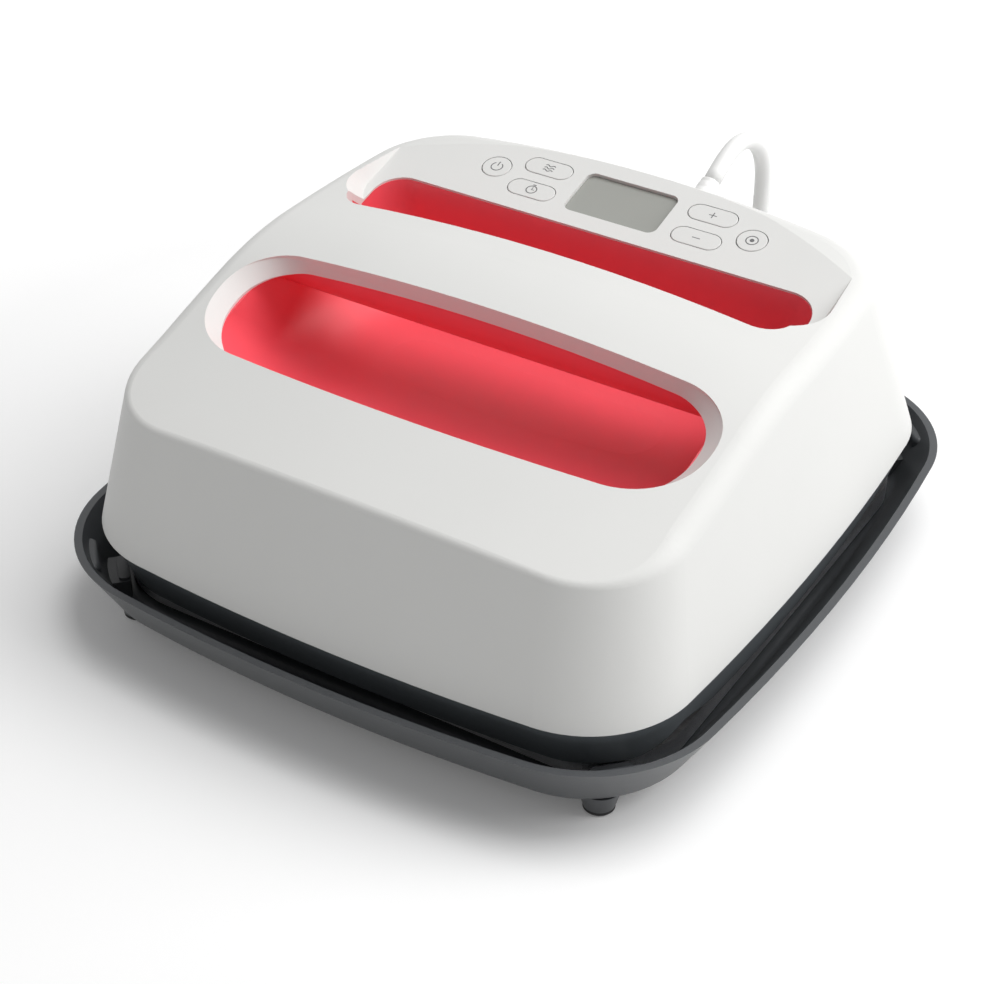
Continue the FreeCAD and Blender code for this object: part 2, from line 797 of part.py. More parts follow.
def slot_flange():
    """Thickened edge of the shell along the handle's rear."""
    ring = slot_block(size("shell_wall"), below_top("tub_drop"), size("top_height") + 10)
    reach = size("slot_front") + size("slot_corner")
    front_part = Part.makeBox(300, reach + 40, 60, Vec(-150, -40, below_top("tub_drop") - 10))
    return ring.common(front_part).cut(crowned_block(size("flange_depth")))


def edge_relief():
    """Room under the deck's front edge, where the shell thins down round the slot."""
    front = size("deck_front") - size("shell_wall")
    below = Part.makeBox(300, front, 30, Vec(-150, -front, -30 - size("edge_thick")))
    ring = slot_block(size("tub_wall") + 0.2, below_top("tub_drop"), size("top_height"))
    return ring.common(moved(below, deck_place()))


def shell_room(inner_blank):
    """The hollow inside the shell, open at the bottom."""
    wall = size("shell_wall")
    room = inner_blank.cut(deck_cut(wall, wall))
    return room.cut(opening_flange()).cut(slot_flange()).fuse(edge_relief())


def deck_prism(outline_shape, x=0.0, along=0.0, lift=0.0):
    return moved(outline_shape, deck_place(x, along, lift))


BUTTONS = {
    "power_button": (-1, 0, "round"),
    "heat_button": (-1, 1, "pill"),
    "timer_button": (-1, -1, "pill"),
    "plus_button": (1, 1, "pill"),
    "minus_button": (1, -1, "pill"),
    "start_button": (1, 0, "round"),
}


def button_spot(name):
    across, along, kind = BUTTONS[name]
    if kind == "round":
        return across * size("round_spacing"), 0.0
    return across * size("pill_across"), along * size("pill_along")


def button_outline(name, grow, height, base):
    """Prism with a button's plan, grown by a margin."""
    if BUTTONS[name][2] == "round":
        return Part.makeCylinder(size("round_radius") + grow, height, Vec(0, 0, base))
    return pill(size("pill_length") + 2 * grow, size("pill_width") + 2 * grow, height, base)


def deck_holes():
    holes = []
    for name in BUTTONS:
        x, along = button_spot(name)
        holes.append(deck_prism(button_outline(name, 0, 20, -12), x, along))
    window = rounded(size("window_length"), size("window_width"), size("window_corner"), 20, base=-12)
    holes.append(deck_prism(window))
    return holes


BOARD_SCREW_SPOTS = [(-62.0, -10.0), (62.0, -10.0), (-62.0, 10.0), (62.0, 10.0)]


def corner_post_spots():
    across = size("shell_half_width") - size("post_side_inset")
    along = size("shell_half_depth") - size("post_end_inset")
    return [Vec(x, y, 0) for x in (-across, across) for y in (-along, along)]


def shell_posts():
    """Screw posts in the four corners, cut off inside the shell's wall."""
    low = frame_top()
    core = blank(size("shell_wall") / 2, size("shell_wall") / 2)
    posts = []
    for spot in corner_post_spots():
        post = Part.makeCylinder(size("post_radius") + 1.3, size("post_length"), spot + Vec(0, 0, low))
        bore = Part.makeCylinder(size("screw_radius"), 16, spot + Vec(0, 0, low))
        posts.append(post.cut(bore).common(core))
    return posts


def board_posts():
    """Short posts under the deck that carry the control board."""
    wall = size("shell_wall")
    posts = []
    for x, along in BOARD_SCREW_SPOTS:
        tall = size("board_depth") - wall
        post = Part.makeCylinder(size("post_radius"), tall + 0.5, Vec(0, 0, -size("board_depth")))
        bore = Part.makeCylinder(size("screw_radius"), tall - 0.5, Vec(0, 0, -size("board_depth")))
        posts.append(deck_prism(post.cut(bore), x, along))
    return posts


def cord_exit():
    """Middle of the cord's boot on the rear wall, and the way it points."""
    height = below_top("cord_exit_drop")
    share = (height - size("shell_bottom")) / (size("top_height") - size("shell_bottom"))
    rear = size("shell_half_depth") + (size("top_rear") - size("shell_half_depth")) * share
    angle = math.radians(size("cord_exit_angle"))
    return Vec(size("cord_exit_across"), rear, height), Vec(0, math.cos(angle), math.sin(angle))


def make_shell():
    outer = rounded_blank("outer", 0.0)
    room = shell_room(rounded_blank("inner", size("shell_wall")))
    slot = slot_block(0, below_top("tub_drop") - 10, size("top_height") + 10)
    shell = outer.cut(room).cut(deck_cut(0, 0)).cut(opening_cut()).cut(slot)
    shell = max(shell.Solids, key=lambda solid: solid.Volume)
    for hole in deck_holes():
        shell = shell.cut(hole)
    for post in shell_posts() + board_posts():
        shell = shell.fuse(post)
    place, way = cord_exit()
    shell = shell.cut(Part.makeCylinder(size("boot_neck") + 0.2, 24, place - way * 14, way))
    shell = shell.removeSplitter()
    feature("top_shell", check_solid("top_shell", max(shell.Solids, key=lambda solid: solid.Volume)))
    return room


# Red tub under the opening and the red underside of the handle

def tub_wire(section, grow):
    height, half, front, rear, front_corner, rear_corner = section
    return mouth_wire(half + grow, front - grow, rear + grow, front_corner + grow, rear_corner + grow,
                      3.0, height)


def tub_void(grow):
    """Room that the hand reaches into, from the front opening to the rear slot."""
    floor = size("tub_floor") + size("tub_wall") - grow
    clear = 0.15
    half = size("slot_half_width") + clear
    front = -size("opening_front")
    rear = size("slot_rear") + clear
    mouth = below_top("tub_drop") + 14.0
    rim = (mouth, half, front - 8.0, rear, 30.0, size("slot_corner") + clear)
    sections = [
        (floor, half - 36.0, front + 63.0, rear - 40.0, 12.0, 10.0),
        (floor + 0.5, half - 26.0, front + 52.0, rear - 30.0, 16.0, 14.0),
        (floor + 3.2, half - 15.0, front + 38.0, rear - 20.0, 20.0, 18.0),
        (floor + 11.0, half - 6.0, front + 23.0, rear - 10.0, 25.0, 20.0),
        (below_top("tub_drop"), half - 0.3, front + 1.5, rear - 2.2, 28.0, 15.0),
        rim,
    ]
    bowl = loft([tub_wire(section, grow) for section in sections], False)
    high = (mouth + 18.0,) + rim[1:]
    return bowl.fuse(loft([tub_wire(rim, grow), tub_wire(high, grow)]))


def make_tub(room):
    inner = tub_void(0.0)
    tub = tub_void(size("tub_wall")).cut(inner)
    tub = tub.common(room)
    tub = max(tub.Solids, key=lambda solid: solid.Volume)
    feature("grip_tub", check_solid("grip_tub", tub))
    return inner


def handle_bar(inset):
    """Bar with a half-round underside and upright sides, drawn in by inset."""
    front = opening_rear_edge() + 0.05 + inset
    rear = size("slot_front") - 0.05 - inset
    seat = below_top("handle_drop")
    radius = (rear - front) / 2
    high = seat + 20.0
    bottom = Vec(-110, (front + rear) / 2, seat - radius)
    corners = [Vec(-110, front, seat), Vec(-110, rear, seat), Vec(-110, rear, high), Vec(-110, front, high)]
    outline = Part.Wire([
        Part.Arc(corners[0], bottom, corners[1]).toShape(),
        Part.makeLine(corners[1], corners[2]),
        Part.makeLine(corners[2], corners[3]),
        Part.makeLine(corners[3], corners[0])])
    return Part.Face(outline).extrude(Vec(220, 0, 0))


def make_handle_underside(inner, room):
    """Half-round channel that closes the hollow handle from below."""
    channel = handle_bar(0).cut(handle_bar(size("handle_wall"))).common(inner).common(room)
    channel = max(channel.Solids, key=lambda solid: solid.Volume)
    feature("handle_underside", check_solid("handle_underside", channel))


def opening_rear_edge():
    """Y of the opening's rear edge where the bevel ends, under the handle's front."""
    local = Vec(0, size("opening_length") - size("lip_lean"), -size("flange_depth"))
    return slope_place().multVec(local).y


# Control deck

def make_window():
    clear = 0.15
    lens = rounded(size("window_length") - 2 * clear, size("window_width") - 2 * clear,
                   size("window_corner") - clear, size("lens_thick"), base=-size("window_sink") - size("lens_thick"))
    feature("display_window", deck_prism(lens))
    low = -size("board_depth")
    high = -size("window_sink") - size("lens_thick") - 0.05
    module = rounded(size("window_length") - 1.4, size("window_width") - 1.4, 2.0, high - low, base=low)
    flange = rounded(size("window_length") + 5.0, size("window_width") + 4.0, 2.0, 2.0, base=low)
    feature("display_module", deck_prism(module.fuse(flange).removeSplitter()))


def make_buttons():
    gap = size("button_gap")
    wall = size("shell_wall")
    for name in BUTTONS:
        cap = button_outline(name, -gap, wall + 0.6, -wall - 0.5)
        crown = [e for e in cap.Edges if abs(e.BoundBox.ZMin - 0.1) < 1e-3]
        cap = cap.makeFillet(size("button_crown"), crown)
        collar = button_outline(name, 1.0, 1.0, -wall - 1.4)
        stem = Part.makeCylinder(size("stem_radius"), 1.0, Vec(0, 0, -wall - 2.0))
        button = cap.fuse(collar).fuse(stem).removeSplitter()
        x, along = button_spot(name)
        feature(name, deck_prism(button, x, along))


def switch_height():
    return size("board_depth") - size("shell_wall") - 2.0 - size("button_travel") - 0.1


def make_control_board():
    def outline(sketch):
        add_rectangle(sketch, "Sizes.board_length", "Sizes.board_width")

    def holes(sketch):
        for x, along in BOARD_SCREW_SPOTS:
            add_circle(sketch, "Sizes.screw_radius + 0.1", x, along)

    low = -size("board_depth") - size("board_thick")
    pad_body("control_board", outline, "Sizes.board_thick", "2 mm", holes, deck_place(0, 0, low))
    switches = []
    for name in BUTTONS:
        x, along = button_spot(name)
        side = size("switch_size")
        tall = switch_height() - 0.9
        case = Part.makeBox(side, side, tall, Vec(-side / 2, -side / 2, 0))
        plunger = Part.makeCylinder(1.5, 0.9, Vec(0, 0, tall))
        switches.append(deck_prism(case.fuse(plunger).removeSplitter(), x, along, -size("board_depth")))
    feature("button_switches", Part.makeCompound(switches))
    screws = []
    for x, along in BOARD_SCREW_SPOTS:
        shank = Part.makeCylinder(size("screw_radius") - 0.05, size("board_thick") + 3.5, Vec(0, 0, 0))
        head = Part.makeCylinder(size("head_radius"), 1.8, Vec(0, 0, -1.8))
        screws.append(deck_prism(shank.fuse(head).removeSplitter(), x, along, low))
    feature("board_screws", Part.makeCompound(screws))
    beeper = Part.makeCylinder(6.0, 7.0, Vec(30, 0, low - 7.0)).cut(Part.makeCylinder(1.0, 3.0, Vec(30, 0, low - 7.0)))
    feature("beeper", deck_prism(beeper))


# Inner frame and power board

def frame_top():
    return size("shell_bottom") + size("frame_thick")


POWER_BOARD_SPOTS = [(-64.0, 76.0), (36.0, 76.0), (-64.0, 108.0), (36.0, 108.0)]


def room_outline(height, gap):
    inset = size("shell_wall") + gap
    return shell_outline(height, inset)


def make_frame():
    low = size("shell_bottom")
    top = frame_top()
    gap = 0.3
    plate = loft([room_outline(low, gap), room_outline(top, gap)])
    rim = loft([room_outline(top, gap), room_outline(top + 5.0, gap)])
    rim = rim.cut(loft([room_outline(top - 1.0, gap + 2.0), room_outline(top + 6.0, gap + 2.0)]))
    frame = plate.fuse(rim)
    for spot in corner_post_spots():
        clear = Part.makeCylinder(size("post_radius") + 1.8, 30, spot + Vec(0, 0, top))
        frame = frame.cut(clear)
        frame = frame.cut(Part.makeCylinder(size("screw_radius") + 0.2, 10, spot + Vec(0, 0, low - 1)))
    for x, y in PLATE_SCREW_SPOTS:
        boss = Part.makeCylinder(6.0, low - stack_top() + 0.5, Vec(x, y, stack_top()))
        frame = frame.fuse(boss)
        frame = frame.cut(Part.makeCylinder(size("screw_radius") + 0.2, 20, Vec(x, y, stack_top() - 1)))
    for x, y in POWER_BOARD_SPOTS:
        frame = frame.fuse(Part.makeCylinder(size("post_radius"), size("power_lift") + 0.5, Vec(x, y, top - 0.5)))
        frame = frame.cut(Part.makeCylinder(size("screw_radius"), 7, Vec(x, y, top + size("power_lift") - 7)))
    for x, y in element_ends():
        frame = frame.cut(Part.makeCylinder(size("element_radius") + 1.5, 20, Vec(x, y, low - 5)))
    feature("inner_frame", check_solid("inner_frame", frame.removeSplitter()))
    screws = []
    for spot in corner_post_spots():
        seat = spot + Vec(0, 0, low - size("ear_thick"))
        shank = Part.makeCylinder(size("screw_radius") - 0.05, size("ear_thick") + size("frame_thick") + 9, seat)
        head = Part.makeCylinder(size("head_radius"), 1.6, seat - Vec(0, 0, 1.6))
        screws.append(shank.fuse(head).removeSplitter())
    feature("shell_screws", Part.makeCompound(screws))


def make_power_board():
    base = frame_top() + size("power_lift")
    xs = [x for x, _ in POWER_BOARD_SPOTS]
    ys = [y for _, y in POWER_BOARD_SPOTS]
    middle = ((min(xs) + max(xs)) / 2, (min(ys) + max(ys)) / 2)
    board = rounded(max(xs) - min(xs) + 10, max(ys) - min(ys) + 10, 2.0, size("board_thick"), middle, base)
    for x, y in POWER_BOARD_SPOTS:
        board = board.cut(Part.makeCylinder(size("screw_radius") + 0.1, 5, Vec(x, y, base - 1)))
    feature("power_board", board)
    top = base + size("board_thick")
    relay = Part.makeBox(28, 12, 16, Vec(-50, 84, top))
    supply = Part.makeBox(24, 22, 17, Vec(-16, 82, top))
    buffer = Part.makeCylinder(5, 16, Vec(17, 88, top))
    feature("power_parts", Part.makeCompound([relay, supply, buffer]))
    block = Part.makeBox(12, 24, 11, Vec(24, 80, top))
    for step in range(3):
        block = block.cut(Part.makeCylinder(2.0, 6, Vec(30, 84 + 8 * step, top + 6)))
    feature("terminal_block", block)
    screws = []
    for x, y in POWER_BOARD_SPOTS:
        shank = Part.makeCylinder(size("screw_radius") - 0.05, 7, Vec(x, y, top - 7))
        head = Part.makeCylinder(size("head_radius"), 1.8, Vec(x, y, top))
        screws.append(shank.fuse(head).removeSplitter())
    feature("power_screws", Part.makeCompound(screws))


# Tubes that follow a route of straight runs and tangent arcs

def tube_path(points):
    edges = []
    radii = []
    start = points[0]
    for before, corner, after in zip(points, points[1:], points[2:]):
        into = (corner - before).normalize()
        out = (after - corner).normalize()
        half = into.getAngle(out) / 2
        reach = 0.45 * min((corner - before).Length, (after - corner).Length)
        radius = reach / math.tan(half)
        radii.append(radius)
        first = corner - into * reach
        last = corner + out * reach
        heart = corner + (out - into).normalize() * (radius / math.cos(half))
        bulge = heart + (corner - heart).normalize() * radius
        edges.append(Part.makeLine(start, first))
        edges.append(Part.Arc(first, bulge, last).toShape())
        start = last
    edges.append(Part.makeLine(start, points[-1]))
    return Part.Wire(edges), radii


def tube(points, radius, name):
    path, radii = tube_path(points)
    way = points[1] - points[0]
    ring = Part.Wire(Part.makeCircle(radius, points[0], way))
    solid = path.makePipeShell([ring], True, False)
    wanted = math.pi * radius ** 2 * path.Length
    print("%s: length %.1f, least radius %.1f, volume %.4f of the expected"
          % (name, path.Length, min(radii), solid.Volume / wanted))
    return check_solid(name, solid)


def make_leads():
    """Two insulated wires from the element's ends to the terminal block."""
    high = element_end_height()
    block = frame_top() + size("power_lift") + size("board_thick") + 11.3
    leads = []
    for (x, y), slot in zip(element_ends(), (0, 2)):
        goal = Vec(30, 84 + 8 * slot, block)
        lift = Vec(0, 0, 1)
        start = Vec(x, y, high)
        points = [start, start + lift * 10, start + lift * 22 + Vec((goal.x - x) * 0.12, 0, 0),
                  Vec(x + (goal.x - x) * 0.35, y + (goal.y - y) * 0.4, block + 18 + slot * 3),
                  Vec(x + (goal.x - x) * 0.7, goal.y, block + 20 + slot * 3),
                  goal + lift * 12, goal]
        leads.append(tube(points, 1.3, "element lead"))
    feature("element_leads", Part.makeCompound(leads))


# Power lead, its boot, coil and plug

CORD_ROUTE = [
    # from the boot's tip: over the arch and straight down behind the base
    (0.0, 28.5, 7.5),
    (0.0, 42.4, -0.5),
    (0.0, 50.4, -14.4),
    (0.0, 50.4, -36.0),
    (-0.5, 50.6, -60.0),
]
CORD_BEND = 24.0


def boot_tip():
    place, way = cord_exit()
    return place + way * size("boot_length")


def make_boot():
    """Tapered strain relief with a collar inside the wall."""
    place, way = cord_exit()
    neck = Part.makeCylinder(size("boot_neck"), 8.0, place - way * 8.0, way)
    collar = Part.makeCylinder(size("boot_neck") + 2.5, 3.0, place - way * 11.0, way)
    root = Part.makeCylinder(size("boot_neck"), 2.0, place, way)
    taper = Part.makeCone(size("boot_neck"), size("cord_radius") + 0.6, size("boot_length") - 2.0,
                          place + way * 2.0, way)
    bore = Part.makeCylinder(size("cord_radius") - 0.8, size("boot_length") + 4, place - way * 12, way)
    feature("cord_boot", neck.fuse(collar).fuse(root).fuse(taper).cut(bore).removeSplitter())


def coil_knot(turn):
    """Point of the coil after so many turns: inwards below, up one layer, outwards above."""
    half = size("coil_turns") / 2
    pitch = size("coil_pitch")
    inner = size("coil_mid_radius") - pitch * (half - 0.25) / 2
    rise = 0.5
    if turn < half - rise / 2:
        radius = inner + pitch * (half - rise / 2 - turn)
        layer = 0.0
    elif turn > half + rise / 2:
        radius = inner + pitch * (turn - half - rise / 2)
        layer = 1.0
    else:
        radius = inner
        share = (turn - half) / rise + 0.5
        layer = share * share * (3 - 2 * share)
    angle = math.radians(size("coil_start")) + 2 * math.pi * turn
    height = size("cord_radius") + layer * size("coil_layer")
    return Vec(size("coil_x") + radius * math.cos(angle), size("coil_y") + radius * math.sin(angle), height)


def coil_heading(turn):
    step = 1e-4
    return (coil_knot(turn + step) - coil_knot(turn - step)).normalize()


def biarc(start, way, end, end_way):
    """Two arcs that join two points and keep both headings."""
    chord = end - start
    both = way + end_way
    spread = 2 * (1 - way.dot(end_way))
    reach = (-chord.dot(both) + math.sqrt(chord.dot(both) ** 2 + spread * chord.dot(chord))) / spread
    middle = (start + end + (way - end_way) * reach) * 0.5
    arcs = []
    for a, knee, b in ((start, start + way * reach, middle), (middle, end - end_way * reach, end)):
        foot = (a + b) * 0.5
        half = (b - a).Length / 2
        tall = (knee - foot).Length
        radius = half * reach / tall
        sag = radius - math.sqrt(radius ** 2 - half ** 2)
        arcs.append(Part.Arc(a, foot + (knee - foot).normalize() * sag, b).toShape())
    return arcs


def coil_wire():
    turns = size("coil_turns")
    steps = int(round(turns * 4))
    stops = [index * turns / steps for index in range(steps + 1)]
    arcs = []
    for before, after in zip(stops, stops[1:]):
        arcs += biarc(coil_knot(before), coil_heading(before), coil_knot(after), coil_heading(after))
    lead = size("cord_radius") * 2
    first = coil_knot(0)
    last = coil_knot(turns)
    head = Part.makeLine(first - coil_heading(0) * lead, first)
    tail = Part.makeLine(last, last + coil_heading(turns) * lead)
    return Part.Wire([head] + arcs + [tail])


def coil_gap(path):
    """Least clear distance of the coil to itself, on points along it."""
    points = path.discretize(Distance=4.0)
    skip = 14
    least = min((points[i] - points[j]).Length for i in range(len(points)) for j in range(i + skip, len(points)))
    return least - 2 * size("cord_radius")


def make_cord():
    radius = size("cord_radius")
    tip = boot_tip()
    coil = coil_wire()
    entry = coil.Vertexes[0].Point
    heading = coil_heading(0)
    knee = entry - heading * CORD_BEND
    slant = CORD_BEND * math.sqrt(0.5)
    hip = knee - heading * slant + Vec(0, 0, slant)
    way_out = cord_exit()[1]
    points = [tip, tip + way_out * 15.0] + [tip + Vec(*p) for p in CORD_ROUTE] + [hip, knee, entry]
    print("cord lead: leg at %s, hip at %s" % (points[-4], hip))
    feature("cord_lead", tube(points, radius, "cord lead"))
    way = coil_heading(0)
    ring = Part.Wire(Part.makeCircle(radius, entry, way))
    solid = coil.makePipeShell([ring], True, False)
    print("cord coil: length %.1f, gap to itself %.2f, volume %.4f of the expected"
          % (coil.Length, coil_gap(coil), solid.Volume / (math.pi * radius ** 2 * coil.Length)))
    feature("cord_coil", check_solid("cord_coil", solid))
    make_plug(coil.Vertexes[-1].Point, coil_heading(size("coil_turns")))


def make_plug(start, way):
    """Moulded three-pin plug that lies flat with its cord level."""
    flat = Vec(way.x, way.y, 0).normalize()
    turn = FreeCAD.Rotation(Vec(1, 0, 0), flat)
    place = FreeCAD.Placement(start, turn)
    low = -start.z
    reach = size("plug_neck")
    neck = Part.makeCone(size("cord_radius") + 0.8, 6.5, reach + 1.0, Vec(0, 0, 0), Vec(1, 0, 0))
    body = Part.makeBox(24, 24, -2 * low - 1.0, Vec(reach, -12, low + 0.5))
    body = body.makeFillet(5.0, [e for e in body.Edges if e.BoundBox.XLength > 20])
    body = body.makeFillet(2.0, [e for e in body.Edges if e.BoundBox.XLength < 1e-6 and e.BoundBox.XMin > reach + 20])
    pad = Part.makeBox(20, 18, 2.0, Vec(reach + 2, -9, low))
    plug = neck.fuse(body).fuse(pad).removeSplitter()
    feature("plug_body", moved(plug, place))
    blade = 17.0
    face = reach + 24.0
    left = Part.makeBox(blade, 1.5, 6.3, Vec(face, -7.1, -2.0))
    right = Part.makeBox(blade, 1.5, 6.3, Vec(face, 5.6, -2.0))
    earth = Part.makeCylinder(2.35, blade + 2, Vec(face, 0, -6.2), Vec(1, 0, 0))
    feature("plug_blades", moved(Part.makeCompound([left, right, earth]), place))


def build():
    make_tray()
    make_foot_pads()
    make_corner_rests()
    make_skirt()
    make_plate()
    make_element()
    make_blanket_and_pan()
    make_plate_screws()
    make_sensors()
    make_frame()
    make_power_board()
    make_leads()
    room = make_shell()
    inner = make_tub(room)
    make_handle_underside(inner, room)
    make_window()
    make_buttons()
    make_control_board()
    make_boot()
    make_cord()


def write_parts():
    os.makedirs("parts", exist_ok=True)
    for obj in DOC.Objects:
        if "Invalid" in obj.State or "Error" in obj.State:
            raise RuntimeError(obj.Label + " failed to recompute")
    for obj in PARTS:
        shape = obj.Shape
        if shape.isNull() or not shape.isValid():
            raise RuntimeError(obj.Label + " has no valid shape")
    for obj in PARTS:
        obj.Shape.exportStep("parts/%s.step" % obj.Label)


build()
DOC.recompute()
write_parts()
print("%d sub-parts written" % len(PARTS))
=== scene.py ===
import math

import bmesh
import bpy
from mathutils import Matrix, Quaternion, Vector


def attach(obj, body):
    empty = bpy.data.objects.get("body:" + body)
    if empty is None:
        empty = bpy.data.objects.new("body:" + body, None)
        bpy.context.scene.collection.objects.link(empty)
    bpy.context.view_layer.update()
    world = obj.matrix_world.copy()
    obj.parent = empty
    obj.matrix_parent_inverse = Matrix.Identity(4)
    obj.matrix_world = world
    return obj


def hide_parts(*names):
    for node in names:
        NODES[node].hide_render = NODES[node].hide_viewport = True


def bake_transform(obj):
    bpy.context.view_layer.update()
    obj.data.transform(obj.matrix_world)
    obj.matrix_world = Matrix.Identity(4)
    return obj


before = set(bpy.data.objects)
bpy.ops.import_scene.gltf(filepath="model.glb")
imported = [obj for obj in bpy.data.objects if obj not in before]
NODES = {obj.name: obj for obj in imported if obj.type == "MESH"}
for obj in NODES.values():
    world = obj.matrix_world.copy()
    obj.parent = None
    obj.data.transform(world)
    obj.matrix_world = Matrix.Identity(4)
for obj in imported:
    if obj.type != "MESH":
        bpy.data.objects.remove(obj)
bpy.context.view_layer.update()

# Sizes of the cord, its boot and the icons, in metres; the part has the same deck and cord

CORD_RADIUS = 0.0035
EXIT_PLACE = Vector((0.0145, 0.10420, 0.100))
EXIT_ANGLE = math.radians(30.0)
EXIT_WAY = Vector((0.0, math.cos(EXIT_ANGLE), math.sin(EXIT_ANGLE)))
BOOT_LENGTH = 0.018
BOOT_NECK = 0.0062
BOOT_ROOT = 0.008
BOOT_PLAIN = 0.010
BOOT_WALL = 0.0006
BOOT_GROOVES = 5
GROOVE_DEPTH = 0.00018
GROOVES_END = 0.97
COIL_CENTRE = Vector((-0.0455, 0.1960, 0.0))
COIL_START = math.radians(20.0)
COIL_TURNS = 5.694
COIL_MID_RADIUS = 0.036
COIL_PITCH = 0.0088
COIL_LAYER = 0.0076
COIL_RISE = 0.5
COIL_STEPS = 16
CORD_SIDES = 20
BOOT_SIDES = 32
BOOT_STEPS = 60
COIL_END = Vector((-0.038636, 0.148347, 0.0111))

DECK_ANGLE = math.radians(13.8)
DECK_Y = 0.0722
DECK_HEIGHT = 0.1175
CAP_TOP = 0.0001
INK_LIFT = 0.00004
INK_THICK = 0.00006
BUTTON_SPOTS = {
    "power_button": (-0.0553, 0.0),
    "heat_button": (-0.0356, 0.0069),
    "timer_button": (-0.0356, -0.0069),
    "plus_button": (0.0356, 0.0069),
    "minus_button": (0.0356, -0.0069),
    "start_button": (0.0553, 0.0),
}

# The picture, in metres, degrees and watts

LENS = 82.96
CAMERA_PLACE = Vector((0.3575, -0.6083, 0.5241))
CAMERA_TARGET = Vector((-0.00432, -0.01278, 0.032))
CAMERA_ROLL = math.radians(0.62)
LAMP_TARGET = Vector((0.0, 0.0, 0.05))
LAMP_WIDTH = 1.6
FLOOR_HALF = 6.0
FLOOR_DROP = 0.0002
FLOOR_GREY = 0.90
FLOOR_NEAR = 0.28
FLOOR_FAR = 0.70
GLOW_NEAR = 0.08
GLOW_FAR = 0.50
SKY_SEEN = 1.0
SKY_LIGHT = 0.39


# Camera at the photograph's angle

def make_camera():
    data = bpy.data.cameras.new("camera")
    data.sensor_width = 36.0
    data.sensor_fit = "HORIZONTAL"
    data.lens = LENS
    data.clip_start = 0.01
    data.clip_end = 20.0
    camera = bpy.data.objects.new("camera", data)
    bpy.context.scene.collection.objects.link(camera)
    look = (CAMERA_TARGET - CAMERA_PLACE).to_track_quat("-Z", "Y")
    roll = Quaternion((0.0, 0.0, 1.0), CAMERA_ROLL)
    camera.location = CAMERA_PLACE
    camera.rotation_mode = "QUATERNION"
    camera.rotation_quaternion = look @ roll
    bpy.context.scene.camera = camera


# Materials

class Nodes:
    """Small helper that adds shader nodes and links them."""

    def __init__(self, name):
        self.material = bpy.data.materials.new(name)
        self.material.use_nodes = True
        self.tree = self.material.node_tree
        self.shader = self.tree.nodes["Principled BSDF"]
        self.place = self.add("ShaderNodeTexCoord").outputs["Object"]

    def add(self, kind, **values):
        node = self.tree.nodes.new(kind)
        for name, value in values.items():
            setattr(node, name, value)
        return node

    def link(self, start, end):
        self.tree.links.new(start, end)

    def noise(self, scale, detail=2.0, roughness=0.5):
        node = self.add("ShaderNodeTexNoise")
        node.inputs["Scale"].default_value = scale
        node.inputs["Detail"].default_value = detail
        node.inputs["Roughness"].default_value = roughness
        self.link(self.place, node.inputs["Vector"])
        return node.outputs["Fac"]

    def spread(self, value, low, high):
        node = self.add("ShaderNodeMapRange")
        node.inputs["From Min"].default_value = 0.3
        node.inputs["From Max"].default_value = 0.7
        node.inputs["To Min"].default_value = low
        node.inputs["To Max"].default_value = high
        self.link(value, node.inputs["Value"])
        return node.outputs["Result"]

    def shade(self, color, value, change):
        """The colour made slightly lighter and darker by a value from 0 to 1."""
        node = self.add("ShaderNodeMix", data_type="RGBA")
        node.inputs["A"].default_value = [max(c * (1 - change), 0) for c in color] + [1.0]
        node.inputs["B"].default_value = [min(c * (1 + change), 1) for c in color] + [1.0]
        self.link(value, node.inputs["Factor"])
        self.link(node.outputs["Result"], self.shader.inputs["Base Color"])

    def bump(self, value, strength, distance):
        node = self.add("ShaderNodeBump")
        node.inputs["Strength"].default_value = strength
        node.inputs["Distance"].default_value = distance
        self.link(value, node.inputs["Height"])
        self.link(node.outputs["Normal"], self.shader.inputs["Normal"])


def plastic(name, color, rough, grain=900.0, depth=0.00004, change=0.02, specular=0.45):
    """Moulded plastic: fine spark grain, faint cloudiness and slight changes of sheen."""
    nodes = Nodes(name)
    fine = nodes.noise(grain, 3.0, 0.6)
    broad = nodes.noise(18.0, 2.0, 0.5)
    nodes.shade(color, nodes.spread(broad, 0.0, 1.0), change)
    nodes.link(nodes.spread(broad, rough - 0.03, rough + 0.03), nodes.shader.inputs["Roughness"])
    nodes.bump(fine, 0.35, depth)
    nodes.shader.inputs["Specular IOR Level"].default_value = specular
    return nodes.material


def metal(name, color, rough):
    """Metal with fine straight machining marks."""
    nodes = Nodes(name)
    mapping = nodes.add("ShaderNodeMapping")
    mapping.inputs["Scale"].default_value = (1.0, 60.0, 60.0)
    nodes.link(nodes.place, mapping.inputs["Vector"])
    marks = nodes.add("ShaderNodeTexNoise")
    marks.inputs["Scale"].default_value = 60.0
    marks.inputs["Detail"].default_value = 3.0
    nodes.link(mapping.outputs["Vector"], marks.inputs["Vector"])
    nodes.shade(color, marks.outputs["Fac"], 0.08)
    sheen = nodes.spread(marks.outputs["Fac"], rough - 0.06, rough + 0.08)
    nodes.link(sheen, nodes.shader.inputs["Roughness"])
    nodes.bump(marks.outputs["Fac"], 0.2, 0.00002)
    nodes.shader.inputs["Metallic"].default_value = 1.0
    return nodes.material


def fibre(name, color):
    """Matted ceramic fibre."""
    nodes = Nodes(name)
    wool = nodes.noise(350.0, 6.0, 0.8)
    nodes.shade(color, wool, 0.2)
    nodes.bump(wool, 0.8, 0.0006)
    nodes.shader.inputs["Roughness"].default_value = 0.95
    nodes.shader.inputs["Sheen Weight"].default_value = 0.3
    return nodes.material


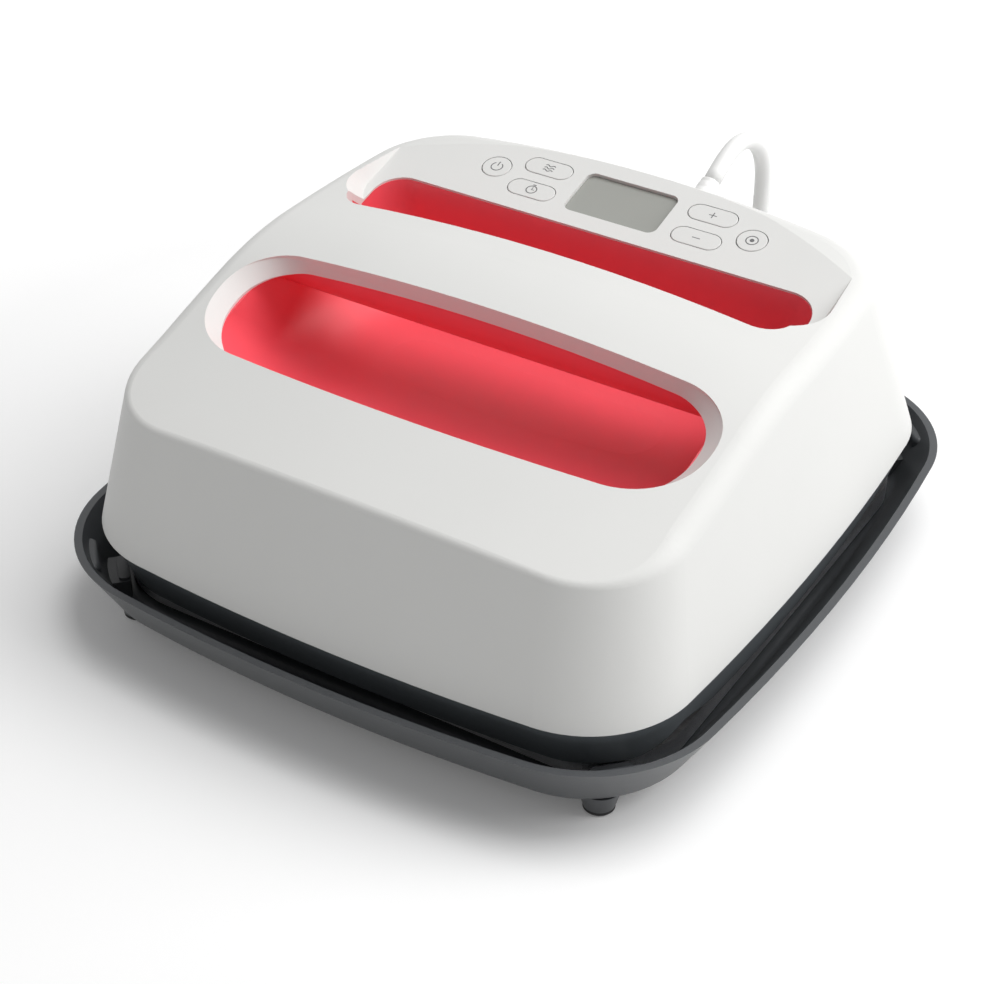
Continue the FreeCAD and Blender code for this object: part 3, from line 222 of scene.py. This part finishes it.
def screen(name):
    """Blank liquid crystal display behind a clear window: greenish grey with a faint sheen."""
    nodes = Nodes(name)
    nodes.shade((0.31, 0.315, 0.29), nodes.noise(25.0, 2.0, 0.5), 0.05)
    nodes.shader.inputs["Roughness"].default_value = 0.22
    nodes.shader.inputs["Specular IOR Level"].default_value = 0.5
    nodes.shader.inputs["Coat Weight"].default_value = 0.6
    nodes.shader.inputs["Coat Roughness"].default_value = 0.04
    return nodes.material


WHITE = plastic("white_plastic", (0.72, 0.72, 0.705), 0.50, change=0.01, specular=0.3)
BUTTON = plastic("button_plastic", (0.71, 0.71, 0.695), 0.48, change=0.01, specular=0.3)
RED = plastic("red_plastic", (0.86, 0.098, 0.130), 0.40, change=0.03, specular=0.6)
SKIRT = plastic("skirt_plastic", (0.135, 0.150, 0.162), 0.34, change=0.06)
TRAY = plastic("tray_plastic", (0.068, 0.072, 0.077), 0.34, change=0.06)
INNER = plastic("inner_plastic", (0.05, 0.05, 0.055), 0.5, change=0.05)
RUBBER = plastic("foot_rubber", (0.02, 0.02, 0.021), 0.75, grain=500.0, depth=0.0001, change=0.15)
CORD = plastic("cord_jacket", (0.84, 0.84, 0.83), 0.42, grain=700.0, change=0.02)
BOARD = plastic("circuit_board", (0.02, 0.14, 0.05), 0.4, grain=300.0, change=0.15)
COATING = plastic(
    "plate_coating", (0.03, 0.03, 0.032), 0.35, grain=1500.0, depth=0.00008, change=0.1)
PLATE = metal("plate_metal", (0.75, 0.75, 0.76), 0.32)
STEEL = metal("plain_steel", (0.55, 0.56, 0.57), 0.35)
BLADE = metal("blade_metal", (0.80, 0.76, 0.66), 0.22)
WOOL = fibre("ceramic_wool", (0.82, 0.80, 0.74))
SLEEVE = fibre("lead_sleeve", (0.75, 0.75, 0.70))
SCREEN = screen("display_glass")
INK = plastic("icon_ink", (0.12, 0.12, 0.125), 0.5, change=0.08)

NODE_MATERIALS = {
    WHITE: ["top_shell"],
    BUTTON: list(BUTTON_SPOTS),
    RED: ["grip_tub", "handle_underside"],
    SKIRT: ["heat_skirt", "inner_frame"],
    TRAY: ["base_tray", "corner_rests"],
    RUBBER: ["foot_pads"],
    INNER: ["power_parts", "terminal_block", "button_switches", "beeper", "display_module"],
    BOARD: ["power_board", "control_board"],
    COATING: ["release_coating"],
    PLATE: ["heat_plate"],
    STEEL: ["heating_element", "element_clamps", "heat_shield", "plate_spacers",
            "plate_screws", "temperature_sensor", "thermal_cutout", "shell_screws",
            "power_screws", "board_screws"],
    BLADE: ["plug_blades"],
    WOOL: ["insulation_blanket"],
    SLEEVE: ["element_leads"],
    SCREEN: ["display_window"],
    CORD: ["plug_body"],
}


def dress_nodes():
    """One material on each solid that stays as the frame has it."""
    for material, names in NODE_MATERIALS.items():
        for name in names:
            data = NODES[name].data
            data.materials.clear()
            data.materials.append(material)


# Mesh helpers

def add_object(name, mesh, material):
    piece = bpy.data.objects.new(name, mesh)
    bpy.context.scene.collection.objects.link(piece)
    mesh.materials.append(material)
    return piece


def finish_mesh(name, work, material, smooth=True):
    bmesh.ops.recalc_face_normals(work, faces=work.faces)
    mesh = bpy.data.meshes.new(name)
    work.to_mesh(mesh)
    work.free()
    for face in mesh.polygons:
        face.use_smooth = smooth
    return add_object(name, mesh, material)


def tube_mesh(name, points, radii, material, sides):
    """Closed tube along points, with a radius at each of them."""
    work = bmesh.new()
    rings = []
    side = None
    for index, point in enumerate(points):
        ahead = points[min(index + 1, len(points) - 1)]
        behind = points[max(index - 1, 0)]
        way = (ahead - behind).normalized()
        if side is None:
            side = way.orthogonal().normalized()
        side = (side - way * side.dot(way)).normalized()
        other = way.cross(side)
        ring = []
        for step in range(sides):
            angle = 2 * math.pi * step / sides
            offset = side * math.cos(angle) + other * math.sin(angle)
            ring.append(work.verts.new(point + offset * radii[index]))
        rings.append(ring)
    for before, after in zip(rings, rings[1:]):
        for step in range(sides):
            following = (step + 1) % sides
            work.faces.new((before[step], before[following], after[following], after[step]))
    work.faces.new(rings[0])
    work.faces.new(rings[-1])
    return finish_mesh(name, work, material)


def deck_point(across, along, lift):
    return Vector((
        across,
        DECK_Y + along * math.cos(DECK_ANGLE) - lift * math.sin(DECK_ANGLE),
        DECK_HEIGHT + along * math.sin(DECK_ANGLE) + lift * math.cos(DECK_ANGLE)))


# Power cord: one smooth spline from the boot, over its arch, down to the coil

LEAD_ROUTE = [
    (0.01450, 0.11979, 0.10900),
    (0.01450, 0.13278, 0.11650),
    (0.01450, 0.14829, 0.11650),
    (0.01450, 0.16219, 0.10850),
    (0.01450, 0.17019, 0.09460),
    (0.01450, 0.17019, 0.07300),
    (0.01400, 0.17039, 0.04900),
    (0.01680, 0.16765, 0.02047),
    (0.01052, 0.18342, 0.00350),
    (0.00165, 0.20572, 0.00350),
]


def coil_point(turn):
    """Inwards on the lower layer, up half way, outwards on the upper layer."""
    half = COIL_TURNS / 2
    inner = COIL_MID_RADIUS - COIL_PITCH * (half - COIL_RISE / 2) / 2
    if turn < half - COIL_RISE / 2:
        radius = inner + COIL_PITCH * (half - COIL_RISE / 2 - turn)
        layer = 0.0
    elif turn > half + COIL_RISE / 2:
        radius = inner + COIL_PITCH * (turn - half - COIL_RISE / 2)
        layer = 1.0
    else:
        radius = inner
        share = (turn - half) / COIL_RISE + 0.5
        layer = share * share * (3 - 2 * share)
    radius = radius / math.cos(math.pi / COIL_STEPS)
    angle = COIL_START + 2 * math.pi * turn
    return COIL_CENTRE + Vector((
        radius * math.cos(angle), radius * math.sin(angle), CORD_RADIUS + layer * COIL_LAYER))


def cord_line():
    """Points of the spline through the lead's route and the coil, up to the plug."""
    points = [Vector(p) for p in LEAD_ROUTE]
    count = int(COIL_TURNS * COIL_STEPS)
    points += [coil_point((index + 0.5) / COIL_STEPS) for index in range(count)]
    points.append(COIL_END)
    data = bpy.data.curves.new("cord_line", "CURVE")
    data.dimensions = "3D"
    data.resolution_u = 6
    spline = data.splines.new("NURBS")
    spline.points.add(len(points) - 1)
    for target, point in zip(spline.points, points):
        target.co = (*point, 1.0)
    spline.order_u = 3
    spline.use_endpoint_u = True
    guide = bpy.data.objects.new("cord_line", data)
    bpy.context.scene.collection.objects.link(guide)
    bpy.context.view_layer.update()
    graph = bpy.context.evaluated_depsgraph_get()
    mesh = bpy.data.meshes.new_from_object(guide.evaluated_get(graph))
    line = [vertex.co.copy() for vertex in mesh.vertices]
    bpy.data.objects.remove(guide)
    return line


def make_cord():
    line = cord_line()
    cord = tube_mesh("power_cord", line, [CORD_RADIUS] * len(line), CORD, CORD_SIDES)
    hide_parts("cord_lead", "cord_coil")
    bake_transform(cord)


def make_boot():
    """Tapered strain relief with faint grooves, starting inside the rear wall."""
    start = EXIT_PLACE - EXIT_WAY * BOOT_ROOT
    whole = BOOT_LENGTH + BOOT_ROOT
    points = []
    radii = []
    for step in range(BOOT_STEPS + 1):
        along = step / BOOT_STEPS * whole
        outside = max(along - BOOT_PLAIN, 0.0) / (whole - BOOT_PLAIN)
        radius = BOOT_NECK + (CORD_RADIUS + BOOT_WALL - BOOT_NECK) * outside
        groove = 0.5 - 0.5 * math.cos(2 * math.pi * outside * BOOT_GROOVES)
        if 0.0 < outside < GROOVES_END:
            radius -= GROOVE_DEPTH * groove ** 3
        points.append(start + EXIT_WAY * along)
        radii.append(radius)
    boot = tube_mesh("strain_relief", points, radii, CORD, BOOT_SIDES)
    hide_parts("cord_boot")
    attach(boot, "press")


# Icons printed on the buttons

def stroke(work, spot, points, width=0.00042, closed=False):
    """Flat line on a button's cap."""
    count = len(points)
    lefts = []
    rights = []
    for index, (x, y) in enumerate(points):
        if closed:
            before = points[index - 1]
            after = points[(index + 1) % count]
        else:
            before = points[max(index - 1, 0)]
            after = points[min(index + 1, count - 1)]
        dx = after[0] - before[0]
        dy = after[1] - before[1]
        size = math.hypot(dx, dy)
        nx = -dy / size * width / 2
        ny = dx / size * width / 2
        for side, way in ((lefts, 1), (rights, -1)):
            corner = deck_point(
                spot[0] + x + way * nx, spot[1] + y + way * ny, CAP_TOP + INK_LIFT)
            side.append(work.verts.new(corner))
    last = count if closed else count - 1
    for index in range(last):
        following = (index + 1) % count
        work.faces.new((lefts[index], rights[index], rights[following], lefts[following]))


def arc(radius, start, end, steps):
    points = []
    for step in range(steps + 1):
        angle = math.radians(start + (end - start) * step / steps)
        points.append((radius * math.cos(angle), radius * math.sin(angle)))
    return points


def power_icon(work, spot):
    stroke(work, spot, arc(0.0023, 125, 415, 28))
    stroke(work, spot, [(0.0, 0.0005), (0.0, 0.0029)])


def heat_icon(work, spot):
    shares = [step / 16 for step in range(17)]
    for height in (-0.0014, 0.0, 0.0014):
        wave = [(-0.0021 + 0.0042 * share, height + 0.0004 * math.sin(share * 3 * math.pi))
                for share in shares]
        stroke(work, spot, wave, 0.0004)


def timer_icon(work, spot):
    stroke(work, spot, arc(0.0021, 0, 350, 35), closed=True)
    stroke(work, spot, [(0.0, 0.0014), (0.0, 0.0), (0.0011, 0.0)], 0.00034)
    stroke(work, spot, [(-0.0007, 0.0028), (0.0007, 0.0028)], 0.0004)


def plus_icon(work, spot):
    stroke(work, spot, [(-0.0016, 0.0), (0.0016, 0.0)], 0.00036)
    stroke(work, spot, [(0.0, -0.0016), (0.0, 0.0016)], 0.00036)


def minus_icon(work, spot):
    stroke(work, spot, [(-0.0016, 0.0), (0.0016, 0.0)], 0.00036)


def start_icon(work, spot):
    stroke(work, spot, arc(0.0023, 0, 350, 35), closed=True)
    stroke(work, spot, arc(0.0005, 0, 330, 11), 0.0008, closed=True)


ICONS = {
    "power_button": power_icon,
    "heat_button": heat_icon,
    "timer_button": timer_icon,
    "plus_button": plus_icon,
    "minus_button": minus_icon,
    "start_button": start_icon,
}


def make_icons():
    for button, draw in ICONS.items():
        work = bmesh.new()
        draw(work, BUTTON_SPOTS[button])
        thin = bmesh.ops.extrude_face_region(work, geom=list(work.faces))
        moved = [item for item in thin["geom"] if isinstance(item, bmesh.types.BMVert)]
        down = deck_point(0, 0, -INK_THICK) - deck_point(0, 0, 0)
        bmesh.ops.translate(work, verts=moved, vec=down)
        icon = finish_mesh(button.replace("_button", "_icon"), work, INK, smooth=False)
        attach(icon, button)


# Floor, backdrop and light

def make_floor():
    """White floor that turns brighter with distance, to run out into the backdrop."""
    work = bmesh.new()
    ways = ((-1, -1), (1, -1), (1, 1), (-1, 1))
    corners = [work.verts.new((x * FLOOR_HALF, y * FLOOR_HALF, -FLOOR_DROP)) for x, y in ways]
    work.faces.new(corners)
    material = bpy.data.materials.new("floor")
    material.use_nodes = True
    tree = material.node_tree
    tree.nodes.clear()
    output = tree.nodes.new("ShaderNodeOutputMaterial")
    diffuse = tree.nodes.new("ShaderNodeBsdfDiffuse")
    diffuse.inputs["Color"].default_value = (FLOOR_GREY, FLOOR_GREY, FLOOR_GREY, 1.0)
    glow = tree.nodes.new("ShaderNodeEmission")
    rays = tree.nodes.new("ShaderNodeLightPath")
    seen = tree.nodes.new("ShaderNodeMath")
    seen.operation = "MAXIMUM"
    level = tree.nodes.new("ShaderNodeMath")
    level.operation = "MULTIPLY"
    place = tree.nodes.new("ShaderNodeNewGeometry")
    reach = tree.nodes.new("ShaderNodeVectorMath")
    reach.operation = "LENGTH"
    far = tree.nodes.new("ShaderNodeMapRange")
    far.inputs["From Min"].default_value = FLOOR_NEAR
    far.inputs["From Max"].default_value = FLOOR_FAR
    far.inputs["To Min"].default_value = GLOW_NEAR
    far.inputs["To Max"].default_value = GLOW_FAR
    both = tree.nodes.new("ShaderNodeAddShader")
    links = tree.links
    links.new(rays.outputs["Is Camera Ray"], seen.inputs[0])
    links.new(rays.outputs["Is Glossy Ray"], seen.inputs[1])
    links.new(seen.outputs[0], level.inputs[0])
    links.new(place.outputs["Position"], reach.inputs[0])
    links.new(reach.outputs["Value"], far.inputs["Value"])
    links.new(far.outputs["Result"], level.inputs[1])
    links.new(level.outputs[0], glow.inputs["Strength"])
    links.new(diffuse.outputs[0], both.inputs[0])
    links.new(glow.outputs[0], both.inputs[1])
    links.new(both.outputs[0], output.inputs["Surface"])
    floor = finish_mesh("floor", work, material, smooth=False)


def make_world():
    """Sky that looks white, also in a mirror, but lights the scene less."""
    world = bpy.data.worlds.new("studio")
    world.use_nodes = True
    tree = world.node_tree
    tree.nodes.clear()
    output = tree.nodes.new("ShaderNodeOutputWorld")
    background = tree.nodes.new("ShaderNodeBackground")
    rays = tree.nodes.new("ShaderNodeLightPath")
    seen = tree.nodes.new("ShaderNodeMath")
    seen.operation = "MAXIMUM"
    strength = tree.nodes.new("ShaderNodeMapRange")
    strength.inputs["To Min"].default_value = SKY_LIGHT
    strength.inputs["To Max"].default_value = SKY_SEEN
    tree.links.new(rays.outputs["Is Camera Ray"], seen.inputs[0])
    tree.links.new(rays.outputs["Is Transmission Ray"], seen.inputs[1])
    mirrored = tree.nodes.new("ShaderNodeMath")
    mirrored.operation = "MAXIMUM"
    tree.links.new(seen.outputs[0], mirrored.inputs[0])
    tree.links.new(rays.outputs["Is Glossy Ray"], mirrored.inputs[1])
    tree.links.new(mirrored.outputs[0], strength.inputs["Value"])
    tree.links.new(strength.outputs["Result"], background.inputs["Strength"])
    tree.links.new(background.outputs[0], output.inputs["Surface"])
    bpy.context.scene.world = world


def add_lamp(name, place, power):
    data = bpy.data.lights.new(name, "AREA")
    data.shape = "SQUARE"
    data.size = LAMP_WIDTH
    data.energy = power
    lamp = bpy.data.objects.new(name, data)
    lamp.location = place
    lamp.rotation_mode = "QUATERNION"
    lamp.rotation_quaternion = (LAMP_TARGET - Vector(place)).to_track_quat("-Z", "Y")
    bpy.context.scene.collection.objects.link(lamp)


def make_lights():
    add_lamp("key", (1.7, 1.0, 1.4), 31.0)
    add_lamp("top", (0.5, 0.5, 2.1), 30.0)


make_camera()
dress_nodes()
make_cord()
make_boot()
make_icons()
make_floor()
make_world()
make_lights()
bpy.context.scene.view_settings.view_transform = "Standard"
